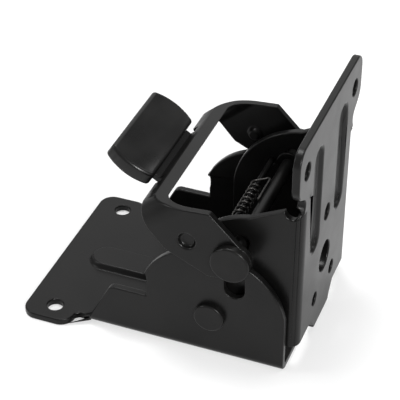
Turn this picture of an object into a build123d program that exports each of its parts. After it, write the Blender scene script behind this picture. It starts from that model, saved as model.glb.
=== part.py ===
from build123d import *
import os
from math import acos, asin, cos, degrees, radians, sin

os.makedirs("parts", exist_ok=True)

# Folding leg bracket, stored upright and ready to fold, in millimetres.
# Origin: on the table face, straight below the pivot axis. +X points to the leg plate,
# +Y along the pivot pin, +Z up from the table face.

# Sheet metal
SHEET = 2.5
BEND_IN = 1.0
BEND_OUT = BEND_IN + SHEET
GAP = 0.1
RIB_TAPER = 25
FLANGE_RAW = 50.0

# Base bracket, screwed under the table
BASE_WIDTH = 60.0
BASE_LEFT = -66.1
BASE_RIGHT = 24.75
EAR_SPAN = 70.0
EAR_RIGHT = -47.0
EAR_CORNER = 5.0
EAR_HOLE_X = -56.3
EAR_HOLE_SPAN = 56.4
EAR_HOLE_R = 2.67
NECK_WIDTH = 58.0
FLANGE_LEFT = -43.2
LOW_LEFT = -33.3
LOW_TOP = 20.7
LOW_ROUND = 3.0
HOOK_TOP = 28.0
HOOK_ROUND = 0.8
SEAT_DEPTH = 0.6
FLOOR_HOLE_X = -9.9
BASE_RIB_WIDTH = 11.5
BASE_RIB_LEFT = -55.6
BASE_RIB_RIGHT = -17.5
BASE_RIB_RISE = 1.9

# Pivot, and the rim that the lock pin rides over
PIVOT_Z = 17.0
RIM_R = 25.1
PIVOT_R = 3.5
PIVOT_HEAD_R = 5.1
PIVOT_HEAD = 2.0
WASHER_R = 7.0
HEAD_ROUND = 0.7

# Lock pin: rests level with the rim, drops into the notch to lock
PIN_R = 2.25
PIN_ANGLE = 73.3
LOCK_DROP = 1.85
LIFT = 1.5
PIN_HEAD_R = 6.4
PIN_HEAD = 2.4
SLOT_SPARE = 1.5
NOTCH_X = 7.9
NOTCH_R = 3.35
NOTCH_BOTTOM = 26.3
HORN_ROUND = 1.2
COLLAR_R = 4.2
COLLAR_WIDTH = 5.7

# Leg bracket, screwed to the leg
LEG_WIDTH = 52.0
LEG_FACE = 28.1
LEG_TOP = 85.0
LEG_BOTTOM = 10.2
TONGUE_BOTTOM = 5.5
TONGUE_WIDTH = 24.0
TONGUE_ROUND = 1.5
LEG_EAR_SPAN = 60.0
LEG_EAR_LOW = 68.4
LEG_EAR_SLOPE = 1.4
LEG_EAR_CORNER = 5.5
LEG_EAR_HOLE_Z = 76.7
LEG_EAR_HOLE_SPAN = 48.8
LEG_HOLE_R = 2.87
MID_HOLE_Z = 44.9
ACCESS_HOLE_Z = 26.9
ACCESS_HOLE_R = 5.43
LOW_HOLE_Z = 15.7
LOW_HOLE_SPAN = 18.0
LOW_HOLE_R = 2.4
LEG_RIB_SPAN = 25.0
LEG_RIB_WIDTH = 9.0
LEG_RIB_LOW = 33.0
LEG_RIB_TOP = 73.5
LEG_RIB_RISE = 1.4
LEG_BACK = 12.0
CHEEK_SIDE = 31.0
CHEEK_MID = (-5.5, 46.3)
CHEEK_TOP = (11.2, 55.9)
FLANGE_TOP = 61.3
RELIEF_R = 2.6

# Lever: a strap bent into a yoke round the base, and a moulded grip on its tab
LEVER_SHEET = 2.4
LEVER_GAP = 0.4
LEVER_BEND_IN = 5.0
WALL_ANGLE = 41.0
WALL_TOP = (-20.2, 56.6)
WALL_HEIGHT = 5.2
ARM_REACH = 60.0
ARM_HEEL = 15.0
ARM_SPARE = 2.0
ARM_TOP = ((-14.0, 58.1), (0.5, 59.2))
ARM_FRONT = (12.9, 46.6)
ARM_TOE = (11.2, 36.7)
ARM_LOW = ((0.3, 35.0), (-10.7, 40.2))
ARM_ROUND = 3.0
TIP_R = 6.3
DIMPLE = (-6.9, 46.9)
DIMPLE_R = 3.0
BUMP_R = 2.5
BUMP = 1.5
TAB_ANGLE = 148.0
TAB_WIDTH = 27.0
TAB_NOTCH = 1.3
TAB_LENGTH = 15.5
TAB_BEND = 1.3
GRIP_NEAR = 2.7
GRIP_FAR = 19.0
GRIP_SPAN = 35.0
GRIP_CROWN = 2.3
GRIP_THICK = 5.6
GRIP_OFFSET = 0.6
GRIP_ROUND = 1.4

# Lock spring, coiled round its bar
BAR = (1.5, 42.2)
BAR_R = 1.0
COIL_R = 1.7
WIRE_R = 0.45
COIL_TURNS = 7.25
COIL_WIDTH = 18.0
TAIL_BEND = 0.9
TAIL_SPAN = 1.5
TAIL_REACH = 13.0
TAIL_ANGLE = 140.0
JOINT_SWELL = 1.04

base_half = BASE_WIDTH / 2
leg_half = LEG_WIDTH / 2
lever_in = base_half + LEVER_GAP
lever_out = lever_in + LEVER_SHEET
pin_rest_r = RIM_R + PIN_R + GAP
pin_x = pin_rest_r * cos(radians(PIN_ANGLE))
pin_z = PIVOT_Z + pin_rest_r * sin(radians(PIN_ANGLE))

# Base bracket
notch_right = NOTCH_X + NOTCH_R
notch_left = NOTCH_X - NOTCH_R
notch_z = NOTCH_BOTTOM + NOTCH_R
right_angle = degrees(acos(BASE_RIGHT / RIM_R))
horn_angle = degrees(acos(notch_right / RIM_R))
wall_angle = degrees(acos(notch_left / RIM_R))
hook_angle = 180 - degrees(asin((HOOK_TOP - PIVOT_Z) / RIM_R))
hook_x = RIM_R * cos(radians(hook_angle))
rim_low_z = PIVOT_Z + RIM_R * sin(radians(right_angle))
horn_z = PIVOT_Z + RIM_R * sin(radians(horn_angle))
wall_z = PIVOT_Z + RIM_R * sin(radians(wall_angle))
seat_mid = (hook_x + SEAT_DEPTH, (HOOK_TOP + LOW_TOP) / 2)

with BuildPart() as base_bracket:
    with BuildSketch(Plane.YZ.offset(BASE_LEFT)):
        with BuildLine():
            Polyline((-base_half, FLANGE_RAW), (-base_half, 0), (base_half, 0), (base_half, FLANGE_RAW),
                     (base_half - SHEET, FLANGE_RAW), (base_half - SHEET, SHEET),
                     (SHEET - base_half, SHEET), (SHEET - base_half, FLANGE_RAW), close=True)
        make_face()
        fillet(vertices().filter_by_position(Axis.Y, -GAP, GAP), BEND_OUT)
        fillet(vertices().filter_by_position(Axis.Y, SHEET - GAP, SHEET + GAP), BEND_IN)
    extrude(amount=BASE_RIGHT - BASE_LEFT)

    # Side outline: lock notch, rim and hook
    with BuildSketch(Plane.XZ):
        with BuildLine():
            Polyline((FLANGE_LEFT, SHEET), (FLANGE_LEFT, 0), (BASE_RIGHT, 0), (BASE_RIGHT, rim_low_z))
            CenterArc((0, PIVOT_Z), RIM_R, right_angle, horn_angle - right_angle)
            Line((notch_right, horn_z), (notch_right, notch_z))
            CenterArc((NOTCH_X, notch_z), NOTCH_R, 0, -180)
            Line((notch_left, notch_z), (notch_left, wall_z))
            CenterArc((0, PIVOT_Z), RIM_R, wall_angle, hook_angle - wall_angle)
            ThreePointArc((hook_x, HOOK_TOP), seat_mid, (hook_x, LOW_TOP))
            Polyline((hook_x, LOW_TOP), (LOW_LEFT, LOW_TOP), (FLANGE_LEFT, SHEET))
        make_face()
        fillet(vertices().filter_by_position(Axis.X, notch_left - GAP, notch_right + GAP)
               .filter_by_position(Axis.Y, horn_z - GAP, wall_z + GAP), HORN_ROUND)
        fillet(vertices().filter_by_position(Axis.Y, HOOK_TOP - GAP, HOOK_TOP + GAP), HOOK_ROUND)
        fillet(vertices().filter_by_position(Axis.X, LOW_LEFT - GAP, LOW_LEFT + GAP), LOW_ROUND)
    extrude(amount=base_half, both=True, mode=Mode.INTERSECT)

    # Floor with its two ears
    with BuildSketch():
        with BuildLine():
            Polyline((FLANGE_LEFT, 0), (FLANGE_LEFT, NECK_WIDTH / 2), (EAR_RIGHT, NECK_WIDTH / 2),
                     (EAR_RIGHT, EAR_SPAN / 2), (BASE_LEFT, EAR_SPAN / 2), (BASE_LEFT, 0))
            mirror(about=Plane.XZ)
        make_face()
        ear_corners = vertices().group_by(Axis.Y)
        fillet(ear_corners[0] + ear_corners[-1], EAR_CORNER)
    extrude(amount=SHEET)

    # Stiffening rib, pressed up from below
    rib_length = BASE_RIB_RIGHT - BASE_RIB_LEFT
    rib_x = (BASE_RIB_RIGHT + BASE_RIB_LEFT) / 2
    with BuildSketch(Plane.XY.offset(SHEET)):
        with Locations((rib_x, 0)):
            SlotOverall(rib_length, BASE_RIB_WIDTH)
    extrude(amount=BASE_RIB_RISE, taper=RIB_TAPER)
    with BuildSketch():
        with Locations((rib_x, 0)):
            SlotOverall(rib_length - SHEET / 2, BASE_RIB_WIDTH - SHEET / 2)
    extrude(amount=BASE_RIB_RISE, taper=RIB_TAPER, mode=Mode.SUBTRACT)

    # Screw holes and pivot holes
    with BuildSketch():
        with Locations((EAR_HOLE_X, -EAR_HOLE_SPAN / 2), (EAR_HOLE_X, EAR_HOLE_SPAN / 2), (FLOOR_HOLE_X, 0)):
            Circle(EAR_HOLE_R)
    extrude(amount=SHEET, mode=Mode.SUBTRACT)
    with BuildSketch(Plane.XZ):
        with Locations((0, PIVOT_Z)):
            Circle(PIVOT_R + GAP)
    extrude(amount=base_half, both=True, mode=Mode.SUBTRACT)

# Leg bracket
with BuildPart() as leg_bracket:
    with BuildSketch(Plane.XY.offset(TONGUE_BOTTOM)):
        with BuildLine():
            Polyline((-LEG_BACK, -leg_half), (LEG_FACE, -leg_half), (LEG_FACE, leg_half),
                     (-LEG_BACK, leg_half), (-LEG_BACK, leg_half - SHEET),
                     (LEG_FACE - SHEET, leg_half - SHEET), (LEG_FACE - SHEET, SHEET - leg_half),
                     (-LEG_BACK, SHEET - leg_half), close=True)
        make_face()
        fillet(vertices().filter_by_position(Axis.X, LEG_FACE - GAP, LEG_FACE + GAP), BEND_OUT)
        fillet(vertices().filter_by_position(Axis.X, LEG_FACE - SHEET - GAP, LEG_FACE - SHEET + GAP), BEND_IN)
    extrude(amount=LEG_TOP - TONGUE_BOTTOM)

    # Cheek outline: round heel, sloping top, low front
    flange_end = LEG_FACE - BEND_OUT - RELIEF_R
    with BuildSketch(Plane.XZ):
        with BuildLine():
            Polyline((0, PIVOT_Z - LEG_BACK), (LEG_FACE - BEND_OUT, LEG_BOTTOM), (LEG_FACE, LEG_BOTTOM),
                     (LEG_FACE, FLANGE_TOP), (flange_end, FLANGE_TOP), CHEEK_TOP)
            ThreePointArc(CHEEK_TOP, CHEEK_MID, (-LEG_BACK, CHEEK_SIDE))
            Line((-LEG_BACK, CHEEK_SIDE), (-LEG_BACK, PIVOT_Z))
            CenterArc((0, PIVOT_Z), LEG_BACK, 180, 90)
        make_face()
    extrude(amount=leg_half, both=True, mode=Mode.INTERSECT)

    # Plate above the cheeks, with its ears, and the tongue below them
    with BuildSketch(Plane.YZ.offset(LEG_FACE - SHEET)):
        with BuildLine():
            Polyline((0, FLANGE_TOP), (leg_half, FLANGE_TOP),
                     (leg_half, LEG_EAR_LOW - LEG_EAR_SLOPE), (LEG_EAR_SPAN / 2, LEG_EAR_LOW),
                     (LEG_EAR_SPAN / 2, LEG_TOP), (0, LEG_TOP))
            mirror(about=Plane.YZ)
        make_face()
        fillet(vertices().group_by(Axis.Y)[-1], LEG_EAR_CORNER)
    extrude(amount=SHEET)
    with BuildSketch(Plane.YZ.offset(LEG_FACE - SHEET)):
        with Locations((0, (LEG_BOTTOM + TONGUE_BOTTOM) / 2)):
            Rectangle(TONGUE_WIDTH, LEG_BOTTOM - TONGUE_BOTTOM)
        fillet(vertices().group_by(Axis.Y)[0], TONGUE_ROUND)
    extrude(amount=SHEET)

    # Stiffening ribs, pressed in from the outer face
    rib_tall = LEG_RIB_TOP - LEG_RIB_LOW
    rib_mid = (LEG_RIB_TOP + LEG_RIB_LOW) / 2
    with BuildSketch(Plane.YZ.offset(LEG_FACE - SHEET)):
        with Locations((-LEG_RIB_SPAN / 2, rib_mid), (LEG_RIB_SPAN / 2, rib_mid)):
            SlotOverall(rib_tall, LEG_RIB_WIDTH, rotation=90)
    extrude(amount=-LEG_RIB_RISE, taper=RIB_TAPER)
    with BuildSketch(Plane.YZ.offset(LEG_FACE)):
        with Locations((-LEG_RIB_SPAN / 2, rib_mid), (LEG_RIB_SPAN / 2, rib_mid)):
            SlotOverall(rib_tall - SHEET / 2, LEG_RIB_WIDTH - SHEET / 2, rotation=90)
    extrude(amount=-LEG_RIB_RISE, taper=RIB_TAPER, mode=Mode.SUBTRACT)

    # Screw holes and the driver access hole
    with BuildSketch(Plane.YZ.offset(LEG_FACE - SHEET)):
        with Locations((-LEG_EAR_HOLE_SPAN / 2, LEG_EAR_HOLE_Z), (LEG_EAR_HOLE_SPAN / 2, LEG_EAR_HOLE_Z),
                       (0, MID_HOLE_Z)):
            Circle(LEG_HOLE_R)
        with Locations((-LOW_HOLE_SPAN / 2, LOW_HOLE_Z), (LOW_HOLE_SPAN / 2, LOW_HOLE_Z)):
            Circle(LOW_HOLE_R)
        with Locations((0, ACCESS_HOLE_Z)):
            Circle(ACCESS_HOLE_R)
    extrude(amount=SHEET, mode=Mode.SUBTRACT)

    # Through both cheeks: pivot, bar and bend relief, and the slot that guides the lock pin
    slot_low = pin_rest_r - LOCK_DROP - GAP
    slot_high = pin_rest_r + LIFT + SLOT_SPARE
    slot_mid = (slot_low + slot_high) / 2
    with BuildSketch(Plane.XZ):
        with Locations((0, PIVOT_Z)):
            Circle(PIVOT_R + GAP)
        with Locations(BAR):
            Circle(BAR_R)
        with Locations((flange_end + RELIEF_R, FLANGE_TOP)):
            Circle(RELIEF_R)
        with Locations((slot_mid * cos(radians(PIN_ANGLE)), PIVOT_Z + slot_mid * sin(radians(PIN_ANGLE)))):
            SlotCenterToCenter(slot_high - slot_low, 2 * (PIN_R + GAP), rotation=PIN_ANGLE)
    extrude(amount=leg_half, both=True, mode=Mode.SUBTRACT)

# Pivot pin, riveted through both brackets
with BuildPart() as pivot_pin:
    with BuildSketch(Plane.XZ):
        with Locations((0, PIVOT_Z)):
            Circle(PIVOT_R)
    extrude(amount=base_half, both=True)
    for side in (-1, 1):
        with BuildSketch(Plane.XZ.offset(side * base_half)):
            with Locations((0, PIVOT_Z)):
                Circle(PIVOT_HEAD_R)
        extrude(amount=side * PIVOT_HEAD)
    outer_edges = edges().group_by(Axis.Y)
    fillet(outer_edges[0] + outer_edges[-1], HEAD_ROUND)

# Washers between the brackets
washers = []
for side in (-1, 1):
    with BuildPart() as washer:
        with BuildSketch(Plane.XZ.offset(side * (leg_half + GAP / 2))):
            with Locations((0, PIVOT_Z)):
                Circle(WASHER_R)
                Circle(PIVOT_R + GAP, mode=Mode.SUBTRACT)
        extrude(amount=side * (base_half - SHEET - leg_half - GAP))
    washers.append(washer.part)

# Lock pin, with its heads outside the lever
with BuildPart() as lock_pin:
    with BuildSketch(Plane.XZ):
        with Locations((pin_x, pin_z)):
            Circle(PIN_R)
    extrude(amount=lever_out + GAP, both=True)
    for side in (-1, 1):
        with BuildSketch(Plane.XZ.offset(side * (lever_out + GAP))):
            with Locations((pin_x, pin_z)):
                Circle(PIN_HEAD_R)
        extrude(amount=side * PIN_HEAD)
    outer_edges = edges().group_by(Axis.Y)
    fillet(outer_edges[0] + outer_edges[-1], HEAD_ROUND)

# Collars that centre the lock pin between the cheeks
collars = []
for side in (-1, 1):
    with BuildPart() as collar:
        with BuildSketch(Plane.XZ.offset(side * (leg_half - SHEET - GAP))):
            with Locations((pin_x, pin_z)):
                Circle(COLLAR_R)
                Circle(PIN_R, mode=Mode.SUBTRACT)
        extrude(amount=-side * COLLAR_WIDTH)
    collars.append(collar.part)

# Lever yoke: a bent strap cut to the arm outline, with a tab for the grip
wall_dir = (cos(radians(WALL_ANGLE)), sin(radians(WALL_ANGLE)))
wall_foot = (WALL_TOP[0] - WALL_HEIGHT * wall_dir[0], WALL_TOP[1] - WALL_HEIGHT * wall_dir[1])
strap_plane = Plane(origin=(WALL_TOP[0], 0, WALL_TOP[1]), x_dir=(0, 1, 0),
                    z_dir=(wall_dir[0], 0, wall_dir[1]))
low_corner = (wall_foot[0] + ARM_HEEL * wall_dir[1], wall_foot[1] - ARM_HEEL * wall_dir[0])
tab_dir = (cos(radians(TAB_ANGLE)), sin(radians(TAB_ANGLE)))

with BuildPart() as lever_yoke:
    with BuildSketch(strap_plane.offset(-ARM_REACH)):
        with BuildLine():
            Polyline((-lever_in, -ARM_REACH), (-lever_in, -LEVER_SHEET), (lever_in, -LEVER_SHEET),
                     (lever_in, -ARM_REACH), (lever_out, -ARM_REACH), (lever_out, 0),
                     (-lever_out, 0), (-lever_out, -ARM_REACH), close=True)
        make_face()
        fillet(vertices().filter_by_position(Axis.Y, -GAP, GAP), LEVER_BEND_IN + LEVER_SHEET)
        fillet(vertices().filter_by_position(Axis.Y, -LEVER_SHEET - GAP, -LEVER_SHEET + GAP), LEVER_BEND_IN)
    extrude(amount=2 * ARM_REACH)

    # Arm outline, seen from the side
    with BuildSketch(Plane.XZ):
        with BuildLine():
            Polyline((wall_foot[0] - wall_dir[1], wall_foot[1] + wall_dir[0]),
                     (WALL_TOP[0] - ARM_SPARE * wall_dir[1], WALL_TOP[1]), ARM_TOP[0], ARM_TOP[1], ARM_FRONT,
                     ARM_TOE, ARM_LOW[0], ARM_LOW[1], low_corner, close=True)
        make_face()
        fillet(vertices().filter_by_position(Axis.Y, ARM_LOW[0][1] - GAP, ARM_TOE[1] + GAP), ARM_ROUND)
        with Locations((pin_x, pin_z)):
            Circle(TIP_R)
    extrude(amount=lever_out, both=True, mode=Mode.INTERSECT)

    # Notches beside the tab
    with BuildSketch(Plane.XZ):
        with Locations(wall_foot):
            Circle(LEVER_SHEET)
    extrude(amount=TAB_WIDTH / 2 + 2 * TAB_NOTCH, both=True, mode=Mode.SUBTRACT)

    # Tab, bent out of the wall
    with BuildSketch(Plane.XZ):
        with BuildLine():
            tab_start = (WALL_TOP[0] - LEVER_SHEET * wall_dir[0] + LEVER_SHEET / 2 * wall_dir[1],
                         WALL_TOP[1] - LEVER_SHEET * wall_dir[1] - LEVER_SHEET / 2 * wall_dir[0])
            tab_corner = (wall_foot[0] + LEVER_SHEET / 2 * wall_dir[1],
                          wall_foot[1] - LEVER_SHEET / 2 * wall_dir[0])
            tab_end = (tab_corner[0] + TAB_LENGTH * tab_dir[0], tab_corner[1] + TAB_LENGTH * tab_dir[1])
            FilletPolyline(tab_start, tab_corner, tab_end, radius=TAB_BEND)
        trace(line_width=LEVER_SHEET)
    extrude(amount=TAB_WIDTH / 2, both=True)

    # Pin holes, and the dimples that stand on the rim
    with BuildSketch(Plane.XZ):
        with Locations((pin_x, pin_z)):
            Circle(PIN_R + GAP / 2)
    extrude(amount=lever_out, both=True, mode=Mode.SUBTRACT)
    for side in (-1, 1):
        with BuildSketch(Plane.XZ.offset(side * lever_in)):
            with Locations(DIMPLE):
                Circle(BUMP_R)
        extrude(amount=-side * BUMP, taper=RIB_TAPER)
        with BuildSketch(Plane.XZ.offset(side * lever_out)):
            with Locations(DIMPLE):
                Circle(DIMPLE_R)
        extrude(amount=-side * BUMP, taper=RIB_TAPER, mode=Mode.SUBTRACT)

# Grip, moulded over the tab
grip_plane = Plane(origin=(tab_corner[0], 0, tab_corner[1]), x_dir=(tab_dir[0], 0, tab_dir[1]),
                   z_dir=(tab_dir[1], 0, -tab_dir[0]))

with BuildPart() as grip:
    with BuildSketch(grip_plane.offset(GRIP_OFFSET)):
        with BuildLine():
            grip_mid = (GRIP_NEAR + GRIP_FAR) / 2
            for side in (-1, 1):
                ThreePointArc((GRIP_NEAR, side * GRIP_SPAN / 2),
                              (grip_mid, side * (GRIP_SPAN / 2 + GRIP_CROWN)),
                              (GRIP_FAR, side * GRIP_SPAN / 2))
            Line((GRIP_NEAR, -GRIP_SPAN / 2), (GRIP_NEAR, GRIP_SPAN / 2))
            Line((GRIP_FAR, -GRIP_SPAN / 2), (GRIP_FAR, GRIP_SPAN / 2))
        make_face()
    extrude(amount=GRIP_THICK / 2, both=True)
    fillet(edges(), GRIP_ROUND)
    add(lever_yoke.part, mode=Mode.SUBTRACT)

# Bar between the cheeks that carries the lock spring
with BuildPart() as spring_bar:
    with BuildSketch(Plane.XZ):
        with Locations(BAR):
            Circle(BAR_R)
    extrude(amount=leg_half, both=True)

# Lock spring: one tail stands on the pivot pin, the other presses the lock pin inward
tail_gap = PIN_R + WIRE_R + GAP
press_x = pin_x + tail_gap * cos(radians(TAIL_ANGLE))
press_z = pin_z + tail_gap * sin(radians(TAIL_ANGLE))

coil_start = (BAR[0], -COIL_WIDTH / 2, BAR[1])
tail_y = COIL_WIDTH / 2 + TAIL_SPAN
coil = Helix(COIL_WIDTH / COIL_TURNS, COIL_WIDTH, COIL_R, center=coil_start, direction=(0, 1, 0))
coil = coil.rotate(Axis(coil_start, (0, 1, 0)), -90)
foot = Line((-PIVOT_R - WIRE_R - GAP, -COIL_WIDTH / 2, PIVOT_Z + WIRE_R), coil @ 0)
tail = FilletPolyline(coil @ 1, (press_x, tail_y, press_z), (press_x, tail_y - TAIL_REACH, press_z),
                      radius=TAIL_BEND)


def wire_along(path):
    """Round spring wire that follows a path from its start."""
    with BuildPart() as wire:
        with BuildLine():
            add(path)
        with BuildSketch(Plane(origin=path @ 0, z_dir=path % 0)):
            Circle(WIRE_R)
        sweep(is_frenet=True)
    return wire.part


with BuildPart() as lock_spring:
    add(wire_along(coil))
    add(wire_along(foot))
    add(wire_along(tail))
    with Locations(coil @ 0, coil @ 1):
        Sphere(WIRE_R * JOINT_SWELL)

# Node names and files
nodes = {
    "base_bracket": base_bracket.part,
    "leg_bracket": leg_bracket.part,
    "pivot_pin": pivot_pin.part,
    "washer_near": washers[1],
    "washer_far": washers[0],
    "lock_pin": lock_pin.part,
    "collar_near": collars[1],
    "collar_far": collars[0],
    "lever_yoke": lever_yoke.part,
    "grip": grip.part,
    "spring_bar": spring_bar.part,
    "lock_spring": lock_spring.part,
}
for name, solid in nodes.items():
    solid.label = name
    export_step(solid, f"parts/{name}.step")
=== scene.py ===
"""Looks of a folding table leg bracket: black powder coat, riveted pins, sprung lock and moulded grip."""

import logging
from dataclasses import dataclass, field
from enum import Enum
from math import cos, radians, sin, tan

import bpy
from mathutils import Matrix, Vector
from mathutils.bvhtree import BVHTree

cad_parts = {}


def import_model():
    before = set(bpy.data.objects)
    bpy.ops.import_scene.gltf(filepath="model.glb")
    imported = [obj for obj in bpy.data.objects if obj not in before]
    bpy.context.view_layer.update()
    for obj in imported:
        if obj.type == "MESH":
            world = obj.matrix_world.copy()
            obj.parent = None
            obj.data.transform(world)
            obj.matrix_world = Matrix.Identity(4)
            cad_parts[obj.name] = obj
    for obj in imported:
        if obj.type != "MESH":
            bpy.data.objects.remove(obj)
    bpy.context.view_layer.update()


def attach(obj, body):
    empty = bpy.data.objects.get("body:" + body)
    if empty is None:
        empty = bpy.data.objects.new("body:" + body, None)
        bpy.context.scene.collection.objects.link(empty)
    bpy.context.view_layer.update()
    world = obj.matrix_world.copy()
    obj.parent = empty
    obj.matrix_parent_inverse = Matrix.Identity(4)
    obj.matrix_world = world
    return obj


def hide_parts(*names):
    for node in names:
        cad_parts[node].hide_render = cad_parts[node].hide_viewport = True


logging.basicConfig(level=logging.INFO, format="%(message)s")
log = logging.getLogger("bracket")

MM = 0.001
GRAIN_HEIGHT = 0.02 * MM
MIX_FIRST, MIX_SECOND, MIX_RESULT = 6, 7, 2
RING_EDGE = 0.2 * MM

Colour = tuple[float, float, float, float]
Triple = tuple[float, float, float]


class Slot(Enum):
    """Names of the material slots."""

    STEEL = "black_steel"
    RIVET = "black_rivet"
    SPRING = "spring_wire"
    GRIP = "grip_plastic"


class Body(Enum):
    """Rigid bodies of the bracket."""

    BASE = "base"
    LEG = "leg"
    LOCK = "lock"
    LEVER = "lever"


class Value:
    """A shader number that takes part in Python expressions.

    Args:
        tree: The node tree that the number lives in.
        link: The output socket that carries it.
    """

    def __init__(self, tree: bpy.types.NodeTree, link: bpy.types.NodeSocket) -> None:
        """Keep the tree and the socket."""
        self.tree = tree
        self.link = link

    def _math(self, operation: str, first: "Value | float", second: "Value | float") -> "Value":
        """Add one Math node.

        Args:
            operation: The Math node's operation.
            first: The first number or Value.
            second: The second number or Value.

        Returns:
            The node's result.
        """
        node = self.tree.nodes.new("ShaderNodeMath")
        node.operation = operation
        for socket, item in zip(node.inputs, (first, second)):
            if isinstance(item, Value):
                self.tree.links.new(item.link, socket)
            else:
                socket.default_value = item
        return Value(self.tree, node.outputs[0])

    def __add__(self, other: "Value | float") -> "Value":
        """Sum."""
        return self._math("ADD", self, other)

    def __radd__(self, other: "Value | float") -> "Value":
        """Sum with the number first."""
        return self._math("ADD", other, self)

    def __sub__(self, other: "Value | float") -> "Value":
        """Difference."""
        return self._math("SUBTRACT", self, other)

    def __rsub__(self, other: "Value | float") -> "Value":
        """Difference from a number."""
        return self._math("SUBTRACT", other, self)

    def __mul__(self, other: "Value | float") -> "Value":
        """Product."""
        return self._math("MULTIPLY", self, other)

    def __rmul__(self, other: "Value | float") -> "Value":
        """Product with the number first."""
        return self._math("MULTIPLY", other, self)

    def at_most(self, other: "Value | float") -> "Value":
        """The smaller of two numbers."""
        return self._math("MINIMUM", self, other)


class Shader:
    """A new node material and the short ways to fill it.

    Args:
        name: The material's name.
    """

    def __init__(self, name: str) -> None:
        """Start an empty node material."""
        self.material = bpy.data.materials.new(name)
        self.material.use_nodes = True
        self.tree = self.material.node_tree
        self.tree.nodes.clear()
        self.output = self.tree.nodes.new("ShaderNodeOutputMaterial")

    def node(self, kind: str, settings: dict[str, object] | None = None,
             **sockets: object) -> bpy.types.Node:
        """Add a node.

        Args:
            kind: The node's type without its ShaderNode prefix.
            settings: Properties that are set before the sockets.
            sockets: Values or links by socket name, with spaces written as underscores.

        Returns:
            The new node.
        """
        node = self.tree.nodes.new("ShaderNode" + kind)
        for name, value in (settings or {}).items():
            setattr(node, name, value)
        for name, value in sockets.items():
            self.feed(node.inputs[name.replace("_", " ")], value)
        return node

    def feed(self, socket: bpy.types.NodeSocket, value: object) -> None:
        """Set or link one socket.

        Args:
            socket: The input socket.
            value: A number, colour, output socket or Value.
        """
        if isinstance(value, Value):
            self.tree.links.new(value.link, socket)
        elif isinstance(value, bpy.types.NodeSocket):
            self.tree.links.new(value, socket)
        else:
            socket.default_value = value

    def place(self) -> bpy.types.NodeSocket:
        """Object coordinates."""
        return self.node("TexCoord").outputs["Object"]

    def noise(self, scale: float, detail: float = 3.0, roughness: float = 0.5) -> Value:
        """Grey noise on object coordinates.

        Args:
            scale: Repeats per metre.
            detail: Octaves.
            roughness: Share of the fine octaves.

        Returns:
            The noise as a number about one half.
        """
        node = self.node("TexNoise", Vector=self.place(), Scale=scale, Detail=detail, Roughness=roughness)
        return Value(self.tree, node.outputs[0])

    def ramp(self, value: Value, low: float, high: float) -> Value:
        """Stretch a number between two limits to nought and one.

        Args:
            value: The number.
            low: What becomes nought.
            high: What becomes one.

        Returns:
            The stretched, clamped number.
        """
        node = self.node("MapRange", {"clamp": True}, Value=value, From_Min=low, From_Max=high)
        return Value(self.tree, node.outputs[0])

    def blend(self, factor: Value, first: Colour, second: Colour) -> bpy.types.NodeSocket:
        """Mix two colours.

        Args:
            factor: How much of the second.
            first: The first colour.
            second: The second colour.

        Returns:
            The mixed colour's socket.
        """
        node = self.node("Mix", {"data_type": "RGBA"})
        self.feed(node.inputs["Factor"], factor)
        self.feed(node.inputs[MIX_FIRST], first)
        self.feed(node.inputs[MIX_SECOND], second)
        return node.outputs[MIX_RESULT]

    def bump(self, height: Value, strength: float) -> bpy.types.NodeSocket:
        """Bump from a height, as fine as a coat's grain.

        Args:
            height: The height as a number.
            strength: How strongly the normal turns.

        Returns:
            The normal's socket.
        """
        node = self.node("Bump", Strength=strength, Distance=GRAIN_HEIGHT, Height=height)
        return node.outputs["Normal"]

    def finish(self, surface: bpy.types.Node) -> bpy.types.Material:
        """Link the surface and return the material."""
        self.tree.links.new(surface.outputs[0], self.output.inputs["Surface"])
        return self.material


def grey(level: float, warmth: float = 0.0) -> Colour:
    """A grey with a little warmth.

    Args:
        level: Linear brightness.
        warmth: Red gained and blue lost, as a share.

    Returns:
        The colour with alpha.
    """
    return (level * (1 + warmth), level, level * (1 - warmth), 1.0)


@dataclass(frozen=True)
class Clouds:
    """Soft clouds over a finish, from a darker, smoother state to a lighter, rougher one."""

    dark: float
    light: float
    smooth: float
    rough: float
    scale: float
    detail: float
    low: float
    high: float
    dark_warmth: float
    light_warmth: float

    def spread(self, shader: Shader) -> tuple[bpy.types.NodeSocket, Value]:
        """Work out what the clouds do to a finish.

        Args:
            shader: The finish's shader.

        Returns:
            Its colour and its roughness.
        """
        cloud = shader.ramp(shader.noise(self.scale, self.detail), self.low, self.high)
        colour = shader.blend(cloud, grey(self.dark, self.dark_warmth), grey(self.light, self.light_warmth))
        return colour, self.smooth + (self.rough - self.smooth) * cloud


@dataclass(frozen=True)
class PowderCoat:
    """Satin black powder coat on pressed steel, with fine orange peel."""

    name: str = "satin_powder_coat"
    clouds: Clouds = Clouds(0.0028, 0.0050, 0.29, 0.37, scale=55.0, detail=4.0, low=0.35, high=0.68,
                            dark_warmth=0.02, light_warmth=0.03)
    gloss: float = 0.19
    peel_scale: float = 1500.0
    peel_share: float = 0.7
    speck_scale: float = 5200.0
    relief: float = 0.16

    def build(self) -> bpy.types.Material:
        """Make the material.

        Returns:
            The finished material.
        """
        shader = Shader(self.name)
        colour, rough = self.clouds.spread(shader)
        peel = shader.noise(self.peel_scale, detail=2.0)
        speck = shader.noise(self.speck_scale, detail=1.0)
        normal = shader.bump(peel * self.peel_share + speck * (1 - self.peel_share), self.relief)
        surface = shader.node("BsdfPrincipled", Base_Color=colour, Roughness=rough, Normal=normal)
        surface.inputs["Specular IOR Level"].default_value = self.gloss
        return shader.finish(surface)


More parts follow.
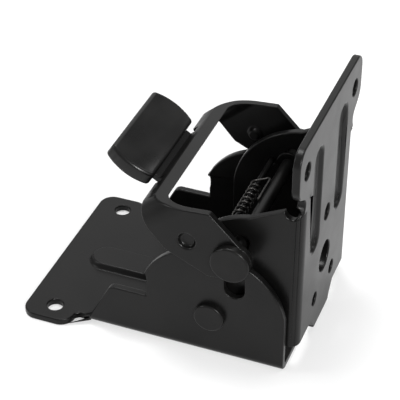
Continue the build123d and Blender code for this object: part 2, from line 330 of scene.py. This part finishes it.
@dataclass(frozen=True)
class FineGrain:
    """A dark finish with one fine grain."""

    name: str
    clouds: Clouds
    gloss: float
    grain_scale: float
    relief: float

    def build(self) -> bpy.types.Material:
        """Make the material.

        Returns:
            The finished material.
        """
        shader = Shader(self.name)
        colour, rough = self.clouds.spread(shader)
        normal = shader.bump(shader.noise(self.grain_scale, detail=2.0), self.relief)
        surface = shader.node("BsdfPrincipled", Base_Color=colour, Roughness=rough, Normal=normal)
        surface.inputs["Specular IOR Level"].default_value = self.gloss
        return shader.finish(surface)


@dataclass(frozen=True)
class BlackRivet(FineGrain):
    """Black plated rivet steel, a little smoother than the sheet."""

    name: str = "black_rivet_steel"
    clouds: Clouds = Clouds(0.0030, 0.0060, 0.28, 0.36, scale=160.0, detail=4.0, low=0.34, high=0.7,
                            dark_warmth=0.02, light_warmth=0.04)
    gloss: float = 0.18
    grain_scale: float = 2600.0
    relief: float = 0.14


@dataclass(frozen=True)
class GripPlastic(FineGrain):
    """Black moulded plastic, dull with a fine spark-eroded grain."""

    name: str = "moulded_black_plastic"
    clouds: Clouds = Clouds(0.0040, 0.0060, 0.27, 0.34, scale=80.0, detail=3.0, low=0.36, high=0.66,
                            dark_warmth=0.01, light_warmth=0.03)
    gloss: float = 0.25
    grain_scale: float = 3400.0
    relief: float = 0.12


@dataclass(frozen=True)
class SpringSteel:
    """Oiled dark spring wire with a grey metal sheen."""

    name: str = "oiled_spring_wire"
    clouds: Clouds = Clouds(0.03, 0.075, 0.26, 0.42, scale=420.0, detail=3.0, low=0.36, high=0.66,
                            dark_warmth=0.02, light_warmth=0.05)
    metallic: float = 0.85

    def build(self) -> bpy.types.Material:
        """Make the material.

        Returns:
            The finished material.
        """
        shader = Shader(self.name)
        colour, rough = self.clouds.spread(shader)
        surface = shader.node("BsdfPrincipled", Base_Color=colour, Roughness=rough)
        surface.inputs["Metallic"].default_value = self.metallic
        return shader.finish(surface)


@dataclass(frozen=True)
class StudioWhite:
    """White sweep that stays white to the camera and still takes a soft shadow."""

    name: str = "studio_white"
    albedo: float = 0.5
    own_light: float = 0.42

    def build(self) -> bpy.types.Material:
        """Make the material.

        Returns:
            The finished material.
        """
        shader = Shader(self.name)
        rays = shader.node("LightPath")
        seen = Value(shader.tree, rays.outputs["Is Camera Ray"])
        seen = seen + Value(shader.tree, rays.outputs["Is Glossy Ray"])
        seen = (seen + Value(shader.tree, rays.outputs["Is Transmission Ray"])).at_most(1.0)
        paint = shader.node("BsdfDiffuse", Color=grey(self.albedo))
        glow = shader.node("Emission", Color=grey(1.0), Strength=seen * self.own_light)
        both = shader.node("AddShader")
        shader.tree.links.new(paint.outputs[0], both.inputs[0])
        shader.tree.links.new(glow.outputs[0], both.inputs[1])
        return shader.finish(both)


def deselect_all() -> None:
    """Leave object mode with nothing selected."""
    if bpy.context.mode != "OBJECT":
        bpy.ops.object.mode_set(mode="OBJECT")
    bpy.ops.object.select_all(action="DESELECT")


def activate(piece: bpy.types.Object) -> None:
    """Select one piece and make it active.

    Args:
        piece: The piece.
    """
    deselect_all()
    piece.select_set(True)
    bpy.context.view_layer.objects.active = piece


def edit_all(piece: bpy.types.Object) -> None:
    """Open one piece's mesh with all of it selected.

    Args:
        piece: The piece.
    """
    activate(piece)
    bpy.ops.object.mode_set(mode="EDIT")
    bpy.ops.mesh.select_all(action="SELECT")


def add_object(name: str, data: bpy.types.ID) -> bpy.types.Object:
    """Put new data into the scene.

    Args:
        name: The object's name.
        data: Its mesh, lamp or camera.

    Returns:
        The new object.
    """
    thing = bpy.data.objects.new(name, data)
    bpy.context.scene.collection.objects.link(thing)
    return thing


def paint(piece: bpy.types.Object, material: bpy.types.Material, slot: Slot) -> None:
    """Give a piece its finish.

    Args:
        piece: The piece.
        material: Its material.
        slot: Not used.
    """
    piece.data.materials.clear()
    piece.data.materials.append(material)


def dress(piece: bpy.types.Object, material: bpy.types.Material, slot: Slot, body: Body) -> None:
    """Give a new piece its finish and the body that it rides on.

    Args:
        piece: The piece.
        material: Its material.
        slot: Passed on to paint, which does not use it.
        body: The body that carries it.
    """
    paint(piece, material, slot)
    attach(piece, body.value)
    log.info("%s rides on %s", piece.name, body.value)


def millimetres(*values: float) -> Vector:
    """A place or a step given in millimetres."""
    return Vector(values) * MM


@dataclass(frozen=True)
class Shift:
    """Corners of a form that move together on both sides, in millimetres.

    The corners between low and high move by the step, and then spread across Y by the factor widen about
    the line middle. Y counts outward from the bracket's middle, so one entry serves both sides.
    """

    low: Triple
    high: Triple
    step: Triple = (0.0, 0.0, 0.0)
    widen: float = 1.0
    middle: float = 0.0

    def pick(self, piece: bpy.types.Object, side: int) -> None:
        """Select the corners inside the box on one side.

        Args:
            piece: The piece, active.
            side: -1 for the near side and 1 for the far side.
        """
        low, high = millimetres(*self.low), millimetres(*self.high)
        bpy.ops.object.mode_set(mode="EDIT")
        bpy.ops.mesh.select_mode(type="VERT")
        bpy.ops.mesh.select_all(action="DESELECT")
        bpy.ops.object.mode_set(mode="OBJECT")
        for corner in piece.data.vertices:
            place = (corner.co.x, corner.co.y * side, corner.co.z)
            corner.select = all(least <= value <= most for least, value, most in zip(low, place, high))
        bpy.ops.object.mode_set(mode="EDIT")

    def apply(self, piece: bpy.types.Object) -> None:
        """Move and widen the corners on both sides.

        Args:
            piece: The piece, active.
        """
        for side in (-1, 1):
            self.pick(piece, side)
            step = millimetres(self.step[0], self.step[1] * side, self.step[2])
            bpy.ops.transform.translate(value=step, orient_type="GLOBAL")
            if self.widen != 1.0:
                bpy.ops.transform.resize(value=(1.0, self.widen, 1.0), orient_type="GLOBAL",
                                         center_override=millimetres(0.0, self.middle * side, 0.0))
        bpy.ops.object.mode_set(mode="OBJECT")

    def soften(self, piece: bpy.types.Object, radius: float, steps: int) -> None:
        """Round the upright corners inside the box, which run through the sheet.

        Args:
            piece: The piece, active.
            radius: Radius in millimetres.
            steps: Facets round the corner.
        """
        for side in (-1, 1):
            self.pick(piece, side)
            bpy.ops.mesh.bevel(offset=radius * MM, segments=steps, affect="EDGES", clamp_overlap=True)
        bpy.ops.object.mode_set(mode="OBJECT")


CHEEK_LOW_BACK = Shift((-36.0, 27.0, 17.0), (-29.0, 31.0, 21.0), (-1.7, 0.0, -2.5))
CHEEK_LOW_FRONT = Shift((-28.9, 27.0, 19.0), (-20.0, 31.0, 21.0), (0.4, 0.0, -2.5))
HOOK_TIP = Shift((-24.5, 27.0, 26.8), (-21.0, 31.0, 28.4), (-0.4, 0.0, -0.9))
BASE_EAR_END = Shift((-52.5, 29.5, -0.1), (-46.5, 36.0, 2.6), (-1.2, 0.0, 0.0))
BASE_SHIFTS = (CHEEK_LOW_BACK, CHEEK_LOW_FRONT, HOOK_TIP, BASE_EAR_END)

EAR_SIDE = Shift((25.0, 27.6, 71.0), (28.5, 31.0, 86.0), (0.0, 2.0, 0.0))
EAR_CORNER = Shift((25.0, 24.3, 79.9), (28.5, 27.59, 86.0), (0.0, 2.0, 0.0))
PLATE_TOP = Shift((25.0, 0.0, 79.7), (28.5, 33.0, 86.0), (0.0, 0.0, 1.5))
EAR_LOW_OUTSIDE = Shift((25.0, 29.0, 68.0), (28.5, 31.0, 69.0), (0.0, 2.0, 2.4))
EAR_LOW_INSIDE = Shift((25.0, 25.5, 66.0), (28.5, 26.5, 68.0), (0.0, -2.4, -1.2))
WEB_BOTTOM = Shift((24.0, 0.0, 10.0), (28.5, 27.0, 10.4), (0.0, 0.0, -2.2))
TONGUE_CORNER = Shift((25.0, 10.0, 5.0), (28.5, 12.5, 7.5), (0.0, -3.6, -3.4))
RIB_OUTSIDE = Shift((25.55, 7.8, 32.0), (28.5, 17.2, 74.0), (0.0, 0.0, 4.5))
RIB_INSIDE = Shift((24.0, 7.8, 32.0), (25.5, 17.2, 74.0), (0.0, 0.0, 4.5))
RIB_MOUTH_OUTSIDE = Shift((27.9, 7.6, 36.0), (28.5, 17.4, 79.0), widen=1.2, middle=12.5)
RIB_MOUTH_INSIDE = Shift((25.5, 7.6, 36.0), (25.7, 17.4, 79.0), widen=1.2, middle=12.5)
LEG_SHIFTS = (EAR_SIDE, EAR_CORNER, PLATE_TOP, EAR_LOW_OUTSIDE, EAR_LOW_INSIDE, WEB_BOTTOM, TONGUE_CORNER,
              RIB_OUTSIDE, RIB_INSIDE, RIB_MOUTH_OUTSIDE, RIB_MOUTH_INSIDE)
EAR_FOOT = Shift((25.0, 31.5, 70.0), (28.5, 32.5, 71.5))
EAR_NECK = Shift((25.0, 23.0, 65.0), (28.5, 24.0, 67.0))
LEG_CORNERS = (EAR_FOOT, EAR_NECK)

COLLAR_SHIFTS = (Shift((3.0, 17.6, 38.0), (13.0, 17.8, 48.0), (0.0, 4.4, 0.0)),)
GRIP_SHIFTS = (Shift((-60.0, 0.0, 0.0), (0.0, 25.0, 90.0), widen=0.957),)


@dataclass
class TruedPart:
    """A part with the frame's own form, trued to the real outline, with its cut edges broken."""

    node: str
    name: str
    body: Body
    slot: Slot = Slot.STEEL
    shifts: tuple[Shift, ...] = ()
    corners: tuple[Shift, ...] = ()
    corner_round: float = 3.0
    corner_steps: int = 6
    edge: float = 0.5 * MM
    astray: float = 0.2 * MM
    steps: int = 3
    sharp: float = radians(32)
    weld: float = 0.004 * MM
    flat: float = radians(0.7)
    face_weight: int = 100

    def copy(self) -> bpy.types.Object:
        """Copy the frame's form and merge its loose triangles into plain faces.

        Returns:
            The copy, active.
        """
        piece = add_object(self.name, bpy.data.objects[self.node].data.copy())
        edit_all(piece)
        bpy.ops.mesh.remove_doubles(threshold=self.weld)
        bpy.ops.object.mode_set(mode="OBJECT")
        self.mend(piece)
        edit_all(piece)
        bpy.ops.mesh.remove_doubles(threshold=self.weld)
        bpy.ops.mesh.dissolve_limited(angle_limit=self.flat)
        bpy.ops.object.mode_set(mode="OBJECT")
        return piece

    def mend(self, piece: bpy.types.Object) -> None:
        """Leave the form as it is. A part that needs metal added does so here."""

    def break_edges(self, piece: bpy.types.Object) -> None:
        """Round the cut edges and even out the shading of the flat faces.

        Args:
            piece: The piece, active.
        """
        bpy.ops.object.shade_smooth()
        mesh = piece.data
        plain = BVHTree.FromPolygons([corner.co.copy() for corner in mesh.vertices],
                                     [tuple(face.vertices) for face in mesh.polygons])
        bevel = piece.modifiers.new("edge_break", "BEVEL")
        bevel.width = self.edge
        bevel.segments = self.steps
        bevel.limit_method = "ANGLE"
        bevel.angle_limit = self.sharp
        bevel.use_clamp_overlap = False
        bpy.ops.object.modifier_apply(modifier=bevel.name)
        for corner in piece.data.vertices:
            nearest, _, _, distance = plain.find_nearest(corner.co)
            if distance > self.astray:
                corner.co = nearest
        even = piece.modifiers.new("even_faces", "WEIGHTED_NORMAL")
        even.weight = self.face_weight
        even.keep_sharp = True
        bpy.ops.object.modifier_apply(modifier=even.name)

    def build(self, material: bpy.types.Material) -> bpy.types.Object:
        """Copy the form, true its outline, break its edges and dress it.

        Args:
            material: The finish.

        Returns:
            The finished piece.
        """
        piece = self.copy()
        for shift in self.shifts:
            shift.apply(piece)
        for corner in self.corners:
            corner.soften(piece, self.corner_round, self.corner_steps)
        if self.edge:
            self.break_edges(piece)
        else:
            bpy.ops.object.shade_smooth_by_angle(angle=self.sharp)
        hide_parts(self.node)
        dress(piece, material, self.slot, self.body)
        return piece


@dataclass
class LegPlate(TruedPart):
    """The leg's plate, with the web made whole across its bend reliefs.

    The sizes below are in millimetres: half the web's width, where its outer face lies along X, the sheet,
    the ribs' middle, half their width inside and outside, their depth, and the length that is made whole.
    """

    half: float = 22.4
    face: float = 28.1
    sheet: float = 2.5
    rib_middle: float = 12.5
    rib_half: float = 4.5
    groove_half: float = 3.875
    rib_depth: float = 1.4
    rib_slope: float = radians(25)
    mend_low: float = 58.6
    mend_high: float = 64.0

    def rib_line(self, depth: float, mouth: float) -> list[tuple[float, float]]:
        """Half of one face's line across the web, from the middle outward.

        Args:
            depth: Where the face lies along X.
            mouth: Half the rib's width on that face.

        Returns:
            The line's places along X and Y.
        """
        foot = mouth - self.rib_depth * tan(self.rib_slope)
        deep = depth - self.rib_depth
        low, high = self.rib_middle - mouth, self.rib_middle + mouth
        return [(depth, low), (deep, self.rib_middle - foot), (deep, self.rib_middle + foot), (depth, high),
                (depth, self.half)]

    def mend(self, piece: bpy.types.Object) -> None:
        """Add a short length of ribbed web where the reliefs run through it.

        Args:
            piece: The merged copy of the frame's form.
        """
        outer = self.rib_line(self.face, self.groove_half)
        inner = self.rib_line(self.face - self.sheet, self.rib_half)
        line = [(x, -y) for x, y in reversed(outer)] + outer
        line += list(reversed(inner)) + [(x, -y) for x, y in inner]
        mesh = bpy.data.meshes.new("web_mend")
        places = [millimetres(x, y, self.mend_low) for x, y in line]
        mesh.from_pydata(places, [], [range(len(places))])
        web = add_object("web_mend", mesh)
        edit_all(web)
        rise = millimetres(0.0, 0.0, self.mend_high - self.mend_low)
        bpy.ops.mesh.extrude_region_move(TRANSFORM_OT_translate={"value": rise})
        bpy.ops.mesh.select_all(action="SELECT")
        bpy.ops.mesh.normals_make_consistent(inside=False)
        bpy.ops.object.mode_set(mode="OBJECT")
        activate(piece)
        join = piece.modifiers.new("web_join", "BOOLEAN")
        join.operation = "UNION"
        join.solver = "EXACT"
        join.object = web
        bpy.ops.object.modifier_apply(modifier=join.name)
        bpy.data.objects.remove(web)


@dataclass(frozen=True)
class SoftBox:
    """A square lamp that faces the object, in metres and watts."""

    name: str
    spot: Triple
    side: float
    power: float

    def build(self, target: Vector) -> None:
        """Hang the lamp.

        Args:
            target: What it faces.
        """
        data = bpy.data.lights.new(self.name, "AREA")
        data.size = self.side
        data.energy = self.power
        lamp = add_object(self.name, data)
        lamp.location = self.spot
        lamp.rotation_euler = (target - Vector(self.spot)).to_track_quat("-Z", "Y").to_euler()


SOFT_BOXES = (
    SoftBox("top_box", (-0.25, 0.15, 1.1), 0.35, 7.0),
    SoftBox("left_box", (-1.1, -0.5, 0.7), 0.4, 4.0),
    SoftBox("right_box", (0.9, 0.4, 0.9), 0.4, 2.5),
    SoftBox("edge_box", (0.67, -0.74, 0.58), 0.25, 11.0),
    SoftBox("back_box", (-0.35, 1.0, 0.85), 1.1, 3.2),
)


@dataclass
class Studio:
    """Camera, lamps, world and the white sweep."""

    target: Vector = field(default_factory=lambda: Vector((-18.51, 9.18, 31.89)) * MM)
    azimuth: float = radians(21.191)
    elevation: float = radians(36.618)
    distance: float = 490.805 * MM
    lens: float = 131.60
    sensor: float = 36.0
    shift: tuple[float, float] = (-0.000915, -0.00874)
    floor_size: float = 6.0
    world_level: float = 0.45

    def build(self) -> None:
        """Set up everything round the object."""
        self.camera()
        self.world()
        for box in SOFT_BOXES:
            box.build(self.target)
        self.floor()
        bpy.context.scene.view_settings.view_transform = "Standard"

    def toward_camera(self) -> Vector:
        """Direction from the object to the camera."""
        flat = cos(self.elevation)
        return Vector((sin(self.azimuth) * flat, -cos(self.azimuth) * flat, sin(self.elevation)))

    def camera(self) -> None:
        """Place the camera at the photograph's angle."""
        data = bpy.data.cameras.new("camera")
        data.sensor_fit = "HORIZONTAL"
        data.sensor_width = self.sensor
        data.lens = self.lens
        data.shift_x, data.shift_y = self.shift
        camera = add_object("camera", data)
        camera.location = self.target + self.toward_camera() * self.distance
        camera.rotation_euler = (-self.toward_camera()).to_track_quat("-Z", "Y").to_euler()
        bpy.context.scene.camera = camera

    def world(self) -> None:
        """White to the camera, plain soft light to every other ray, reflections included."""
        world = bpy.data.worlds.new("studio_air")
        world.use_nodes = True
        tree = world.node_tree
        tree.nodes.clear()
        rays = tree.nodes.new("ShaderNodeLightPath")
        seen = Value(tree, rays.outputs["Is Camera Ray"])
        air = tree.nodes.new("ShaderNodeBackground")
        tree.links.new((seen * (1 - self.world_level) + self.world_level).link, air.inputs["Strength"])
        air.inputs["Color"].default_value = grey(1.0)
        output = tree.nodes.new("ShaderNodeOutputWorld")
        tree.links.new(air.outputs[0], output.inputs["Surface"])
        bpy.context.scene.world = world

    def floor(self) -> None:
        """A wide white floor that is not part of the object."""
        deselect_all()
        bpy.ops.mesh.primitive_plane_add(size=self.floor_size, location=(0, 0, 0))
        floor = bpy.context.object
        floor.name = "floor"
        floor.data.materials.append(StudioWhite().build())


class Bracket:
    """The whole bracket, built from the frame's bodies."""

    def __init__(self) -> None:
        """Make the four finishes."""
        self.coat = PowderCoat().build()
        self.rivet = BlackRivet().build()
        self.wire = SpringSteel().build()
        self.plastic = GripPlastic().build()

    def keep(self, node: str, material: bpy.types.Material, slot: Slot) -> None:
        """Dress a frame node whose form stays.

        Args:
            node: The node's name.
            material: Its finish.
            slot: Passed on to paint, which does not use it.
        """
        paint(bpy.data.objects[node], material, slot)
        log.info("%s keeps its own form", node)

    def build(self) -> None:
        """Build and dress every piece."""
        TruedPart("base_bracket", "base_plate", Body.BASE, shifts=BASE_SHIFTS).build(self.coat)
        LegPlate("leg_bracket", "leg_plate", Body.LEG, shifts=LEG_SHIFTS,
                 corners=LEG_CORNERS).build(self.coat)
        TruedPart("lever_yoke", "lever_arms", Body.LEVER).build(self.coat)
        for side in ("near", "far"):
            TruedPart(f"collar_{side}", f"pin_ring_{side}", Body.LOCK, Slot.RIVET, COLLAR_SHIFTS,
                      edge=RING_EDGE).build(self.rivet)
        TruedPart("grip", "grip_pad", Body.LEVER, Slot.GRIP, GRIP_SHIFTS, edge=0.0).build(self.plastic)
        for node in ("pivot_pin", "lock_pin", "washer_near", "washer_far"):
            self.keep(node, self.rivet, Slot.RIVET)
        self.keep("spring_bar", self.rivet, Slot.SPRING)
        self.keep("lock_spring", self.wire, Slot.SPRING)


def main() -> None:
    """Load the frame, set the studio and build the bracket."""
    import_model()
    Studio().build()
    Bracket().build()


if __name__ == "__main__":
    main()
